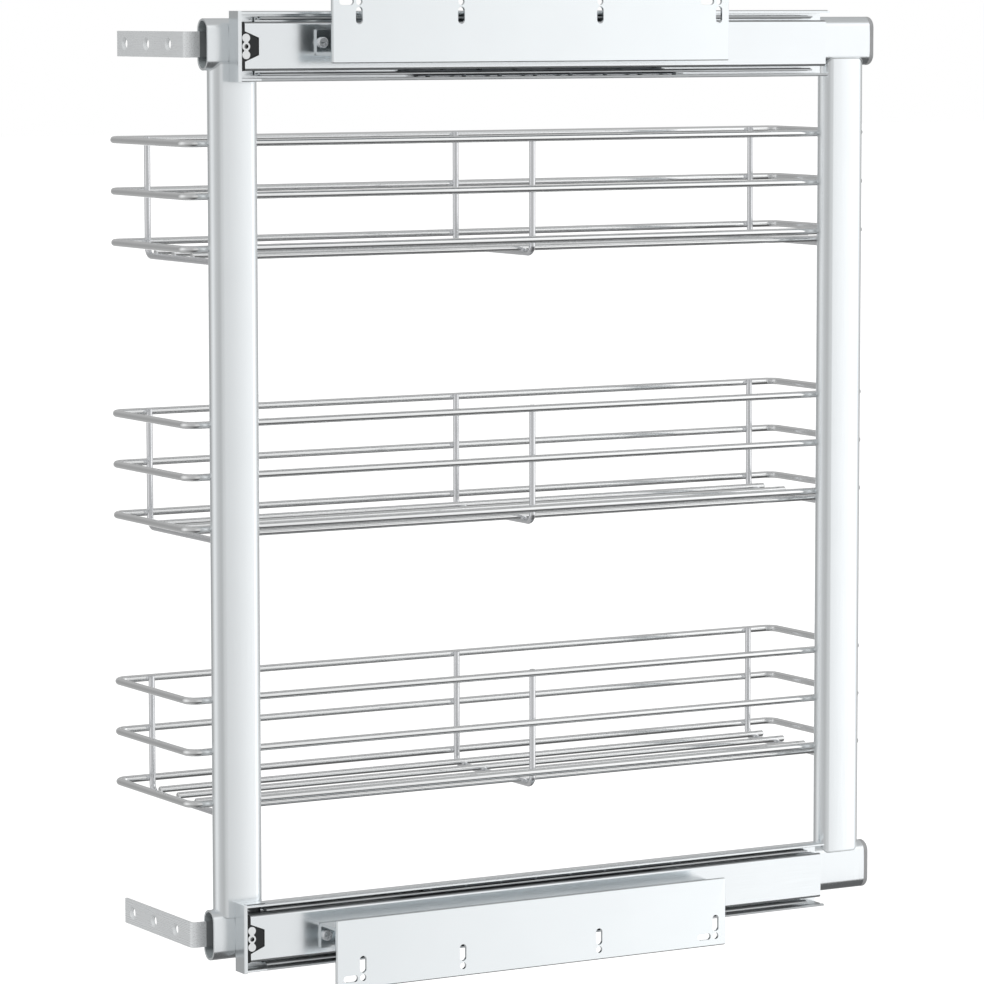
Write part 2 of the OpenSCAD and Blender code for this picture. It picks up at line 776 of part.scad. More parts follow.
// An angle with one leg on the inner member and an arm out to the plate
module mount_angle(level) {
    toward_plate = level == lower_slide_z ? -1 : 1;
    arm = standoff - plate_thick;
    color(PALE_STEEL)
        translate([slide_face_x, 0, level])
            difference() {
                along_y(plate_front_y, plate_front_y + plate_length)
                    scale([1, toward_plate])
                        translate([0, -angle_offset])
                            bent_strip(arm, angle_leg, angle_thick, angle_bend);
                translate([-slide_thick, slide_front_y, 0])
                    at_bracket_screws(level)
                        translate([slide_thick - past, 0, 0])
                            turned_bar(angle_thick + 2 * past, screw_d + 2 * screw_gap);
            }
}

// A plate with round holes, upright slots and two level slots for the cabinet's screws
module mount_plate(level) {
    toward_plate = level == lower_slide_z ? -1 : 1;
    color(PALE_STEEL)
        translate([0, plate_front_y, level])
            scale([1, 1, toward_plate])
                translate([0, 0, -plate_offset])
                    along_x(-plate_thick, 0)
                        difference() {
                            rounded_plate([plate_length, plate_height], plate_corner);
                            for (place = [first_hole, second_hole, third_hole, fourth_hole]) {
                                translate([place, hole_row]) circle(d = round_hole_d, $fn = SMOOTH);
                                translate([place, slot_row]) oval(slot_length, slot_width);
                            }
                            for (place = [first_hole, fourth_hole])
                                translate([place - level_slot_offset, hole_row])
                                    rotate(90) oval(level_slot_length, level_slot_width);
                        }
}

mount_plate(lower_slide_z);  // lower_mount_plate
mount_plate(upper_slide_z);  // upper_mount_plate
mount_angle(lower_slide_z);  // lower_mount_angle
mount_angle(upper_slide_z);  // upper_mount_angle
bracket_screws(lower_slide_z);  // lower_bracket_screws
bracket_screws(upper_slide_z);  // upper_bracket_screws
inner_member(lower_slide_z);  // lower_inner_member
inner_member(upper_slide_z);  // upper_inner_member
inner_balls(lower_slide_z);  // lower_inner_balls
inner_balls(upper_slide_z);  // upper_inner_balls
inner_ball_cage(lower_slide_z);  // lower_inner_ball_cage
inner_ball_cage(upper_slide_z);  // upper_inner_ball_cage
middle_member(lower_slide_z);  // lower_middle_member
middle_member(upper_slide_z);  // upper_middle_member
outer_balls(lower_slide_z);  // lower_outer_balls
outer_balls(upper_slide_z);  // upper_outer_balls
outer_ball_cage(lower_slide_z);  // lower_outer_ball_cage
outer_ball_cage(upper_slide_z);  // upper_outer_ball_cage
outer_channel(lower_slide_z);  // lower_outer_channel
outer_channel(upper_slide_z);  // upper_outer_channel
channel_rivets(lower_slide_z);  // lower_channel_rivets
channel_rivets(upper_slide_z);  // upper_channel_rivets
end_stop(lower_slide_z);  // lower_end_stop
end_stop(upper_slide_z);  // upper_end_stop
stop_clip(lower_slide_z);  // lower_stop_clip
stop_clip(upper_slide_z);  // upper_stop_clip
rail(lower_rail_z);  // lower_rail
rail(upper_rail_z);  // upper_rail
rail_cap(lower_rail_z);  // lower_rail_cap
rail_cap(upper_rail_z);  // upper_rail_cap
post(front_post_y);  // front_post
post(rear_post_y);  // rear_post
door_bracket(lower_rail_z);  // lower_door_bracket
door_bracket(upper_rail_z);  // upper_door_bracket
basket_ring(top_basket_z);  // top_basket_rim_wire
basket_ring(top_basket_z - ring_pitch);  // top_basket_middle_wire
basket_ring(top_basket_z - 2 * ring_pitch);  // top_basket_lower_wire
cross_wires(top_basket_z);  // top_basket_cross_wires
floor_wires(top_basket_z);  // top_basket_floor_wires
basket_ring(middle_basket_z);  // middle_basket_rim_wire
basket_ring(middle_basket_z - ring_pitch);  // middle_basket_middle_wire
basket_ring(middle_basket_z - 2 * ring_pitch);  // middle_basket_lower_wire
cross_wires(middle_basket_z);  // middle_basket_cross_wires
floor_wires(middle_basket_z);  // middle_basket_floor_wires
basket_ring(bottom_basket_z);  // bottom_basket_rim_wire
basket_ring(bottom_basket_z - ring_pitch);  // bottom_basket_middle_wire
basket_ring(bottom_basket_z - 2 * ring_pitch);  // bottom_basket_lower_wire
cross_wires(bottom_basket_z);  // bottom_basket_cross_wires
floor_wires(bottom_basket_z);  // bottom_basket_floor_wires
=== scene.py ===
import json
import math
import random

import bmesh
import bpy
from mathutils import Matrix, Vector


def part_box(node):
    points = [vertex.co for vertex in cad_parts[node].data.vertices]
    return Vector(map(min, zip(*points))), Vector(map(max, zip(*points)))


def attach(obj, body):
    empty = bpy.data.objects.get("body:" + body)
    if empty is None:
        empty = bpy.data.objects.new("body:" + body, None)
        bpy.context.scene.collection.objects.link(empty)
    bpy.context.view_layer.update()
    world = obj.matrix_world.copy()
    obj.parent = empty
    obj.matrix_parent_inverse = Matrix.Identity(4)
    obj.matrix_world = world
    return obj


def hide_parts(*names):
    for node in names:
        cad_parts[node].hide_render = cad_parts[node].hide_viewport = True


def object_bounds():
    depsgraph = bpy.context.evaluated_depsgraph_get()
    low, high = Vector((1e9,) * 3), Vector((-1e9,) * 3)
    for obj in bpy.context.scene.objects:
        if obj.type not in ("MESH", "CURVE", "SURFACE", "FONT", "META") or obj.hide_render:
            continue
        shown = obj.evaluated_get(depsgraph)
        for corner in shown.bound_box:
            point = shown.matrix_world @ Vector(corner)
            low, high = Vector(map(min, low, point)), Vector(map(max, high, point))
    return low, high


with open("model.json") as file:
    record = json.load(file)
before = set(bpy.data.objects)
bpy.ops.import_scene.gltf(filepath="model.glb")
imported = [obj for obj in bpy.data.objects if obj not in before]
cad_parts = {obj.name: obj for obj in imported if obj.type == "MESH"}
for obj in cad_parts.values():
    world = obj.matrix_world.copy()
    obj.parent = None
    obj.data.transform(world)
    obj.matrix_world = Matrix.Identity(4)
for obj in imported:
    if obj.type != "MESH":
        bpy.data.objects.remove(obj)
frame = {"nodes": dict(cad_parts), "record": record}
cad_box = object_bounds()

MM = 0.001
UP = Vector((0, 0, 1))
DEPTH = Vector((0, 1, 0))
NODES = frame["nodes"]
SLOTS = {part["node"]: part["material_slot"] for part in frame["record"]["subparts"]}
LEVELS = ("lower", "upper")
BASKETS = ("top", "middle", "bottom")
RINGS = ("rim_wire", "middle_wire", "lower_wire")

# Camera, in the frame of the part
CAMERA_PLACE = Vector((2.6081, -1.5444, 0.6250))
CAMERA_AZIMUTH = 60.003
CAMERA_ELEVATION = 5.948
CAMERA_ROLL = -0.066
CAMERA_LENS_MM = 170.07
SENSOR_MM = 36
CAMERA_REACH = 100

# Studio: brightness of the surround by direction in degrees, from +X towards +Y
AROUND = (
    (-180, 0.48), (-150, 0.33), (-124, 0.64), (-104, 0.84), (-88, 0.76), (-66, 0.56),
    (-40, 0.50), (-25, 0.48), (0, 0.65), (22, 0.62), (32, 0.99), (37, 1.23),
    (56, 1.23), (80, 0.75), (104, 0.48), (122, 0.42), (172, 0.42), (180, 0.50),
)
# Share of a white backdrop by direction, and the heights in degrees between which it fades
BACKDROP = ((128, 0), (138, 1), (162, 1), (172, 0))
BACKDROP_TOP, BACKDROP_END = 2, 8
# Brightness of the ground by direction, and of the sky, with the heights between which they take over
FLOOR_AROUND = ((-180, 0.42), (-120, 0.46), (-60, 0.30), (0, 0.12), (120, 0.12), (180, 0.42))
FLOOR_FROM, FLOOR_FULL = -18, -27
SKY = 0.49
SKY_FROM, SKY_FULL = 30, 46
WHITE = (1, 1, 1, 1)

# Soft lamp, and the floor under the part
SUN_STRENGTH = 1.4
SUN_ANGLE = 30
SUN_TURN = (42, 0, 35)
FLOOR_DROP = 0.35
FLOOR_SIZE = 60.0
FLOOR_PAPER = (0.8, 0.8, 0.8, 1)
FLOOR_GLOW = 0.45

# Wires
RING_BEND = 7.5 * MM
CROSS_BEND = 6 * MM
WIRE_SIDES = 28
BEND_STEPS = 10
CUT_CHAMFER = 0.5 * MM
BEAD_SPREAD = 1.75 * MM
BEAD_RISE = 1.25 * MM
BEAD_UNEVEN = 0.08
BEAD_LUMP = 0.05

# Oval tubes
TUBE_WALL = 1.5 * MM
CROWN = math.radians(2.8)
CROWN_STEPS = 4
ARC_STEPS = 20
RIM_ROUND = 0.3 * MM
RIM_EASE = 0.3 * RIM_ROUND
SADDLE_DEPTH = 5 * MM
SEAM_BEAD = 0.5 * MM
SEAM_SIDES = 10

# Clean-up of the CAD meshes, edges that stay crisp, and edge breaks
WELD_DISTANCE = 1e-6
FLAT_ANGLE = math.radians(0.4)
SHARP_ANGLE = math.radians(38)
SHEET_EDGE = 0.22 * MM
PLATE_EDGE = 0.3 * MM
MOULDED_EDGE = 0.5 * MM
CLIP_EDGE = 0.25 * MM
SCREW_EDGE = 0.08 * MM
EDGE_STEPS = 2
FLATS_WEIGHT = 100

# Rolled rim of a mount plate, and domed heads of the bracket screws
PLATE_ROUND = 0.8 * MM
PLATE_STEPS = 4
HEAD_FLAT = 2.9 * MM
HEAD_ROUND = 1.8 * MM
HEAD_STEPS = 5

# Where painted shade starts on a piece
CLIP_HOLE_RADIUS = 1.5 * MM
PAINTED_SHADE_START = 0.2 * MM
FOLD = 1.6 * MM
WEB_HALF = 8 * MM

# Least part of a face's normal that lies along an axis it looks along: mostly, and at all
MOSTLY = 0.5
PARTLY = 0.3


def finish_piece(name, bm, body, slot, *nodes, edge=0):
    """Makes an object of a mesh, lets it ride on a body and stand for CAD nodes."""
    bmesh.ops.recalc_face_normals(bm, faces=bm.faces)
    mesh = bpy.data.meshes.new(name)
    bm.to_mesh(mesh)
    bm.free()
    mesh.shade_smooth()
    mesh.set_sharp_from_angle(angle=SHARP_ANGLE)
    piece = bpy.data.objects.new(name, mesh)
    bpy.context.collection.objects.link(piece)
    mesh.materials.append(MATERIALS[slot])
    if edge:
        bevel = piece.modifiers.new("edge", "BEVEL")
        bevel.width = edge
        bevel.segments = EDGE_STEPS
        bevel.limit_method = "ANGLE"
        bevel.angle_limit = SHARP_ANGLE
    flats = piece.modifiers.new("flats", "WEIGHTED_NORMAL")
    flats.weight = FLATS_WEIGHT
    flats.keep_sharp = not edge
    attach(piece, body)
    if nodes:
        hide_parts(*nodes)
    return piece


def paint(piece, slot, chosen):
    """Gives the faces that a test picks by their centre and normal a second finish."""
    mesh = piece.data
    mesh.materials.append(MATERIALS[slot])
    for face in mesh.polygons:
        if chosen(face.center, face.normal):
            face.material_index = len(mesh.materials) - 1


def loft(bm, loops, closed=False):
    """Joins loops of equally many vertices with quads."""
    pairs = list(zip(loops, loops[1:]))
    if closed:
        pairs.append((loops[-1], loops[0]))
    for first, second in pairs:
        for i in range(len(first)):
            j = (i + 1) % len(first)
            bm.faces.new((first[i], first[j], second[j], second[i]))


def round_path(corners, bend, closed):
    """Points and directions along a polyline whose corners are rounded."""
    path = []
    count = len(corners)
    for i, corner in enumerate(corners):
        if not closed and i in (0, count - 1):
            other = corners[1] if i == 0 else corners[-2]
            ahead = (other - corner) if i == 0 else (corner - other)
            path.append((corner, ahead.normalized()))
            continue
        before = (corner - corners[i - 1]).normalized()
        after = (corners[(i + 1) % count] - corner).normalized()
        centre = corner + (after - before) * bend
        for k in range(BEND_STEPS + 1):
            turn = k / BEND_STEPS * math.pi / 2
            place = centre - after * bend * math.cos(turn) + before * bend * math.sin(turn)
            ahead = before * math.cos(turn) + after * math.sin(turn)
            path.append((place, ahead))
    return path


def sweep(bm, path, radius, axis, closed=False):
    """Runs a round wire along a path that lies in a plane square to the axis."""
    stations = [(place, ahead, radius) for place, ahead in path]
    if not closed:
        first, last = path[0], path[-1]
        inset = radius - CUT_CHAMFER
        stations.insert(1, (first[0] + first[1] * CUT_CHAMFER, first[1], radius))
        stations[0] = (first[0], first[1], inset)
        stations.insert(-1, (last[0] - last[1] * CUT_CHAMFER, last[1], radius))
        stations[-1] = (last[0], last[1], inset)
    loops = []
    for place, ahead, r in stations:
        side = ahead.cross(axis)
        loop = []
        for i in range(WIRE_SIDES):
            turn = 2 * math.pi * i / WIRE_SIDES
            loop.append(bm.verts.new(place + (axis * math.cos(turn) + side * math.sin(turn)) * r))
        loops.append(loop)
    loft(bm, loops, closed)
    if not closed:
        bm.faces.new(loops[0])
        bm.faces.new(list(reversed(loops[-1])))


def ring_corners(node):
    """The four corners of a ring's centre line, and its wire's radius."""
    low, high = (Vector(v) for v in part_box(node))
    radius = (high.z - low.z) / 2
    level = (high.z + low.z) / 2
    x0, x1 = low.x + radius, high.x - radius
    y0, y1 = low.y + radius, high.y - radius
    corners = ((x0, y0), (x1, y0), (x1, y1), (x0, y1))
    return [Vector((x, y, level)) for x, y in corners], radius


def make_ring(node):
    """A closed wire ring with rounded corners."""
    corners, radius = ring_corners(node)
    bm = bmesh.new()
    sweep(bm, round_path(corners, RING_BEND, closed=True), radius, UP, closed=True)
    finish_piece(f"{node}_bent", bm, "carriage", "wire_chrome", node)


def solid_boxes(node):
    """Boxes of the separate solids in a node, from front to back and from far to near."""
    bm = bmesh.new()
    bm.from_mesh(NODES[node].data)
    bmesh.ops.remove_doubles(bm, verts=bm.verts, dist=WELD_DISTANCE)
    boxes = []
    left = set(bm.verts)
    while left:
        todo = [left.pop()]
        island = list(todo)
        while todo:
            for edge in todo.pop().link_edges:
                for vert in edge.verts:
                    if vert in left:
                        left.remove(vert)
                        todo.append(vert)
                        island.append(vert)
        low = Vector([min(v.co[k] for v in island) for k in range(3)])
        high = Vector([max(v.co[k] for v in island) for k in range(3)])
        boxes.append((low, high))
    bm.free()
    return sorted(boxes, key=lambda box: (round(box[0].y, 4), box[0].x))


def make_cross_wires(node):
    """The U-shaped wires across a basket."""
    bm = bmesh.new()
    for low, high in solid_boxes(node):
        radius = (high.y - low.y) / 2
        y = (high.y + low.y) / 2
        far, near, floor = low.x + radius, high.x - radius, low.z + radius
        corners = ((far, high.z), (far, floor), (near, floor), (near, high.z))
        path = round_path([Vector((x, y, z)) for x, z in corners], CROSS_BEND, closed=False)
        sweep(bm, path, radius, DEPTH)
    finish_piece(f"{node}_bent", bm, "carriage", "cross_wire_chrome", node)


def make_floor_wires(node):
    """The straight wires of a basket's floor, with chamfered cuts."""
    bm = bmesh.new()
    for low, high in solid_boxes(node):
        radius = (high.z - low.z) / 2
        middle = (low + high) / 2
        ends = [Vector((middle.x, y, middle.z)) for y in (low.y, high.y)]
        sweep(bm, round_path(ends, 0, closed=False), radius, UP)
    finish_piece(f"{node}_cut", bm, "carriage", "wire_chrome", node)


def add_bead(bm, place, across, rng):
    """A small uneven weld bead, flattened along one direction."""
    spread = BEAD_SPREAD * rng.uniform(1 - BEAD_UNEVEN, 1 + BEAD_UNEVEN)
    rise = BEAD_RISE * rng.uniform(1 - BEAD_UNEVEN, 1 + BEAD_UNEVEN)
    made = bmesh.ops.create_icosphere(bm, subdivisions=3, radius=1)
    for vert in made["verts"]:
        out = vert.co.normalized()
        lump = 1 + BEAD_LUMP * math.sin(5 * out.x + 3 * out.y + 7 * out.z)
        flat = out.dot(across)
        vert.co = place + (out - across * flat) * spread * lump + across * flat * rise * lump


def make_basket_welds(basket):
    """Weld beads where a basket's wires cross."""
    rng = random.Random(f"{basket} welds")
    bm = bmesh.new()
    cross = solid_boxes(f"{basket}_basket_cross_wires")
    for ring in RINGS:
        corners, radius = ring_corners(f"{basket}_basket_{ring}")
        level = corners[0].z
        for low, high in cross:
            y = (low.y + high.y) / 2
            for x, face in ((corners[0].x, radius), (corners[1].x, -radius)):
                add_bead(bm, Vector((x + face, y, level)), Vector((1, 0, 0)), rng)
    for low, high in solid_boxes(f"{basket}_basket_floor_wires"):
        x = (low.x + high.x) / 2
        for cross_low, cross_high in cross:
            y = (cross_low.y + cross_high.y) / 2
            top = cross_low.z + (cross_high.y - cross_low.y)
            add_bead(bm, Vector((x, y, (top + low.z) / 2)), UP, rng)
    finish_piece(f"{basket}_basket_welds", bm, "carriage", "wire_chrome")


def oval_outline(length, thick):
    """An oval with softly crowned flats: points as (along, across) pairs."""
    half_l, half_t = length / 2, thick / 2
    s, c = math.sin(CROWN), math.cos(CROWN)
    big = (half_l - (1 - s) * half_t / c) / (s - (1 - s) * (1 - c) / c)
    small = (half_t - big * (1 - c)) / c
    end = half_l - small
    quarter = []
    for k in range(CROWN_STEPS + 1):
        turn = CROWN * k / CROWN_STEPS
        quarter.append((big * math.sin(turn), half_t - big * (1 - math.cos(turn))))
    for k in range(1, ARC_STEPS + 1):
        turn = CROWN + (math.pi / 2 - CROWN) * k / ARC_STEPS
        quarter.append((end + small * math.sin(turn), small * math.cos(turn)))
    half = quarter + [(a, -b) for a, b in reversed(quarter[:-1])]
    return half + [(-a, b) for a, b in reversed(half[1:-1])]


def tube_loop(bm, outline, place):
    """One loop of vertices from an outline and a rule that places its points."""
    return [bm.verts.new(place(along, across)) for along, across in outline]


def make_rail(level):
    """An oval tube along the pull direction with a softly broken front rim."""
    node = f"{level}_rail"
    low, high = (Vector(v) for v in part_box(node))
    middle = (low + high) / 2
    height, thick = high.z - low.z, high.x - low.x
    bm = bmesh.new()

    def loop(shrink, y):
        outline = oval_outline(height - 2 * shrink, thick - 2 * shrink)
        return tube_loop(bm, outline, lambda a, b: Vector((middle.x + b, y, middle.z + a)))

    loops = [
        loop(TUBE_WALL, high.y),
        loop(TUBE_WALL, low.y + RIM_ROUND),
        loop(TUBE_WALL - RIM_EASE, low.y + RIM_EASE),
        loop(TUBE_WALL - RIM_ROUND, low.y),
        loop(RIM_ROUND, low.y),
        loop(RIM_EASE, low.y + RIM_EASE),
        loop(0, low.y + RIM_ROUND),
        loop(0, high.y),
    ]
    loft(bm, loops, closed=True)
    rail = finish_piece(f"{node}_tube", bm, "carriage", "tube_steel", node)

    def faces_the_axis(place, normal):
        outward = (place.x - middle.x) * normal.x + (place.z - middle.z) * normal.z
        return outward < 0 and abs(normal.y) < MOSTLY

    # painted shade: the inside of the tube is coloured a dull dark grey
    paint(rail, "painted_shade_inside", faces_the_axis)


def saddle(across, rail_half, rail_radius, depth):
    """How far a post's end lies from the rail's axis at a place across the post."""
    bulge = math.sqrt(max(rail_radius ** 2 - across ** 2, 0))
    return max(rail_half - depth, rail_half - rail_radius + bulge)


def make_post(node):
    """An upright oval tube whose ends wrap round both rails."""
    low, high = (Vector(v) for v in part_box(node))
    middle = (low + high) / 2
    length, thick = high.y - low.y, high.x - low.x
    rails = {}
    for level in LEVELS:
        rail_low, rail_high = (Vector(v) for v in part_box(f"{level}_rail"))
        rails[level] = ((rail_low.z + rail_high.z) / 2, (rail_high.z - rail_low.z) / 2)
    bm = bmesh.new()

    def end_z(across, level):
        axis, half = rails[level]
        away = saddle(across, half, thick / 2, SADDLE_DEPTH)
        return axis + away if level == "lower" else axis - away

    def loop(shrink, level):
        outline = oval_outline(length - 2 * shrink, thick - 2 * shrink)
        return tube_loop(bm, outline, lambda a, b: Vector((middle.x + b, middle.y + a, end_z(b, level))))

    inside = [loop(TUBE_WALL, "lower"), loop(TUBE_WALL, "upper")]
    outside = [loop(0, "upper"), loop(0, "lower")]
    loft(bm, inside + outside, closed=True)
    finish_piece(f"{node}_tube", bm, "carriage", "tube_steel", node)

    outline = oval_outline(length, thick)
    seams = []
    for level in LEVELS:
        seams.append([Vector((middle.x + b, middle.y + a, end_z(b, level))) for a, b in outline])
    make_seams(node, outline, seams)


def make_seams(node, outline, seams):
    """The weld beads round both ends of a post."""
    bm = bmesh.new()
    for path in seams:
        loops = []
        for i, place in enumerate(path):
            ahead = (path[(i + 1) % len(path)] - path[i - 1]).normalized()
            out = Vector((outline[i][1], outline[i][0], 0))
            out = (out - ahead * out.dot(ahead)).normalized()
            other = ahead.cross(out)
            loop = []
            for k in range(SEAM_SIDES):
                turn = 2 * math.pi * k / SEAM_SIDES
                offset = out * math.cos(turn) + other * math.sin(turn)
                loop.append(bm.verts.new(place + offset * SEAM_BEAD))
            loops.append(loop)
        loft(bm, loops, closed=True)
    finish_piece(f"{node}_weld", bm, "carriage", "tube_steel")


def clean_copy(node):
    """The mesh of a CAD node with its points joined and its flat faces whole."""
    bm = bmesh.new()
    bm.from_mesh(NODES[node].data)
    bmesh.ops.remove_doubles(bm, verts=bm.verts, dist=WELD_DISTANCE)
    bmesh.ops.dissolve_limit(bm, angle_limit=FLAT_ANGLE, verts=bm.verts, edges=bm.edges)
    return bm


def refine(node, body, edge, split=None):
    """A copy of a CAD node with softly broken edges, its faces divided at a depth where asked."""
    bm = clean_copy(node)
    if split is not None:
        everything = bm.verts[:] + bm.edges[:] + bm.faces[:]
        bmesh.ops.bisect_plane(bm, geom=everything, plane_co=(0, split, 0), plane_no=(0, 1, 0))
    return finish_piece(f"{node}_finished", bm, body, SLOTS[node], node, edge=edge)


def make_slide(level):
    """The three members of a slide, with painted shade on the races between them.

    The lower slide's channel is also painted dark grey in front of its middle member, as painted shade.
    """
    low, high = (Vector(v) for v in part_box(f"{level}_inner_member"))
    centre = (low.z + high.z) / 2
    middle_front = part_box(f"{level}_middle_member")[0][1]
    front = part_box(f"{level}_outer_channel")[0][1] + FOLD
    lip_start = (high.z - low.z) / 2

    def inside_channel(place, normal):
        return normal.z * (place.z - centre) < -MOSTLY * abs(place.z - centre)

    def outside_inner(place, normal):
        return abs(normal.z) > MOSTLY and normal.z * (place.z - centre) > 0

    def off_the_web(place, normal):
        return abs(place.z - centre) > WEB_HALF

    def lower_lip(place, normal):
        return normal.x > PARTLY and place.z < low.z

    def in_front(place, normal):
        beyond_the_web = abs(place.z - centre) > lip_start
        return front < place.y < middle_front and beyond_the_web and normal.x > PARTLY

    channel = refine(f"{level}_outer_channel", "carriage", SHEET_EDGE, split=middle_front)
    # painted shade: the channel's inside faces and its lower lips are coloured darker
    paint(channel, "painted_shade_race", inside_channel)
    paint(channel, "painted_shade_race", lower_lip)
    # painted shade: on the lower slide, the channel's lips in front of the middle member are coloured
    # dark grey
    if level == "lower":
        paint(channel, "painted_shade_steel", in_front)
    middle = refine(f"{level}_middle_member", f"{level}_middle_slide", SHEET_EDGE)
    # painted shade: the middle member off its web and the inner member's outer flanges are coloured
    # darker
    paint(middle, "painted_shade_race", off_the_web)
    inner = refine(f"{level}_inner_member", "cabinet_side", SHEET_EDGE)
    paint(inner, "painted_shade_race", outside_inner)


def make_stop_clip(level):
    """The white clip of an end stop; the walls of the hole in its middle lobe are painted black, as
    painted shade.
    """
    node = f"{level}_stop_clip"
    low, high = (Vector(v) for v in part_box(node))
    axis = (low + high) / 2
    clip = refine(node, "carriage", CLIP_EDGE)

    def in_the_hole(place, normal):
        reach = math.hypot(place.y - axis.y, place.z - axis.z)
        return abs(normal.x) < PARTLY and reach < CLIP_HOLE_RADIUS

    # painted shade: the hole's walls take the end stop's black
    paint(clip, "stop_plastic", in_the_hole)


def round_rim(bm, on_the_rim, width, steps, clamp):
    """Rounds the edges whose ends both lie on a rim."""
    rim = [edge for edge in bm.edges if all(on_the_rim(vert) for vert in edge.verts)]
    bmesh.ops.bevel(
        bm, geom=rim, offset=width, segments=steps, profile=0.5, affect="EDGES", clamp_overlap=clamp)


def make_bracket_screws(level):
    """The bracket screws, with rounded heads round their cross recess."""
    node = f"{level}_bracket_screws"
    axes = [(low + high) / 2 for low, high in solid_boxes(node)]
    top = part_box(node)[1][0]
    bm = clean_copy(node)

    def on_the_rim(vert):
        reach = min(math.hypot(vert.co.y - axis.y, vert.co.z - axis.z) for axis in axes)
        return vert.co.x > top - WELD_DISTANCE and reach > HEAD_FLAT

    round_rim(bm, on_the_rim, HEAD_ROUND, HEAD_STEPS, clamp=True)
    finish_piece(f"{node}_finished", bm, "cabinet_side", SLOTS[node], node, edge=SCREW_EDGE)


def make_door_bracket(level):
    """A door bracket whose leg, where it lies in the rail, is painted dark grey as painted shade of the
    rail's inside.
    """
    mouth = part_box(f"{level}_rail")[0][1] + PAINTED_SHADE_START
    node = f"{level}_door_bracket"
    bracket = refine(node, "carriage", SHEET_EDGE, split=mouth)

    def in_the_rail(place, normal):
        return place.y > mouth

    # painted shade: the leg inside the rail is coloured dark grey
    paint(bracket, "painted_shade_steel", in_the_rail)


def make_mount_angle(level):
    """A mount angle; on the lower one the faces that look up are painted darker and duller, as painted
    shade.
    """
    angle = refine(f"{level}_mount_angle", "cabinet_side", SHEET_EDGE)

    def faces_up(place, normal):
        return normal.z > PARTLY

    if level == "lower":
        # painted shade: the upward faces of the lower angle are coloured darker
        paint(angle, "painted_shade_zinc", faces_up)


def make_mount_plate(level):
    """A mount plate whose outer edge is rolled over towards the room, as punched sheet is."""
    node = f"{level}_mount_plate"
    low, high = (Vector(v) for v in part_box(node))
    bm = clean_copy(node)

    def on_the_rim(vert):
        inset = min(vert.co.y - low.y, high.y - vert.co.y, vert.co.z - low.z, high.z - vert.co.z)
        return inset < PLATE_ROUND / 2 and vert.co.x > high.x - WELD_DISTANCE

    round_rim(bm, on_the_rim, PLATE_ROUND, PLATE_STEPS, clamp=False)
    finish_piece(f"{node}_finished", bm, "cabinet_side", SLOTS[node], node, edge=PLATE_EDGE)


def make_camera():
    """The camera of the photo, without depth of field."""
    data = bpy.data.cameras.new("photo_camera")
    data.lens = CAMERA_LENS_MM
    data.sensor_width = SENSOR_MM
    data.clip_end = CAMERA_REACH
    camera = bpy.data.objects.new("photo_camera", data)
    bpy.context.collection.objects.link(camera)
    a, e = math.radians(CAMERA_AZIMUTH), math.radians(CAMERA_ELEVATION)
    back = Vector((math.sin(a) * math.cos(e), -math.cos(a) * math.cos(e), math.sin(e)))
    turn = back.to_track_quat("Z", "Y").to_matrix() @ Matrix.Rotation(math.radians(CAMERA_ROLL), 3, "Z")
    camera.matrix_world = Matrix.Translation(CAMERA_PLACE) @ turn.to_4x4()
    bpy.context.scene.camera = camera


# Places of the colour sockets on a mix node, and how rough noise is and the range it fills
MIX_A, MIX_B, MIX_RESULT = 6, 7, 2
NOISE_ROUGHNESS = 0.55
NOISE_LOW, NOISE_HIGH = 0.3, 0.7


class Graph:
    """A node tree with short ways to add and join nodes."""

    def __init__(self, tree):
        self.tree = tree
        tree.nodes.clear()

    def add(self, kind, inputs=None, **settings):
        node = self.tree.nodes.new(kind)
        for key, value in settings.items():
            setattr(node, key, value)
        for key, value in (inputs or {}).items():
            if isinstance(value, bpy.types.NodeSocket):
                self.tree.links.new(value, node.inputs[key])
            else:
                node.inputs[key].default_value = value
        return node

    def ramp(self, factor, stops, ease="LINEAR"):
        """A ramp of greys from pairs of position and brightness."""
        node = self.add("ShaderNodeValToRGB", {"Fac": factor})
        node.color_ramp.interpolation = ease
        elements = node.color_ramp.elements
        while len(elements) < len(stops):
            elements.new(0.5)
        for element, (place, grey) in zip(elements, stops):
            element.position = place
            element.color = (grey, grey, grey, 1)
        return node.outputs["Color"]

    def mix(self, factor, first, second):
        """A mix of two colours, each a socket or four numbers."""
        node = self.add("ShaderNodeMix", {"Factor": factor}, data_type="RGBA")
        for value, socket in ((first, node.inputs[MIX_A]), (second, node.inputs[MIX_B])):
            if isinstance(value, bpy.types.NodeSocket):
                self.tree.links.new(value, socket)
            else:
                socket.default_value = value
        return node.outputs[MIX_RESULT]

    def noise(self, stretch, scale, detail):
        """Noise on the piece itself, stretched by a factor for each axis."""
        coords = self.add("ShaderNodeTexCoord").outputs["Object"]
        mapped = self.add("ShaderNodeMapping", {"Vector": coords, "Scale": stretch})
        node = self.add("ShaderNodeTexNoise", {
            "Vector": mapped.outputs["Vector"], "Scale": scale, "Detail": detail,
            "Roughness": NOISE_ROUGHNESS})
        return node.outputs["Fac"]

    def spread(self, value, low, high, from_low=NOISE_LOW, from_high=NOISE_HIGH):
        """A value mapped from one range, by default the one that noise fills, to another."""
        node = self.add("ShaderNodeMapRange", {
            "Value": value, "From Min": from_low, "From Max": from_high, "To Min": low, "To Max": high})
        return node.outputs["Result"]


def around_stops(pairs):
    """Ramp stops for a full turn from pairs of degrees and brightness."""
    return [((degrees + 180) / 360, grey) for degrees, grey in pairs]


def height_stop(degrees):
    """Place on the height ramp of a direction so many degrees above level."""
    return (math.sin(math.radians(degrees)) + 1) / 2


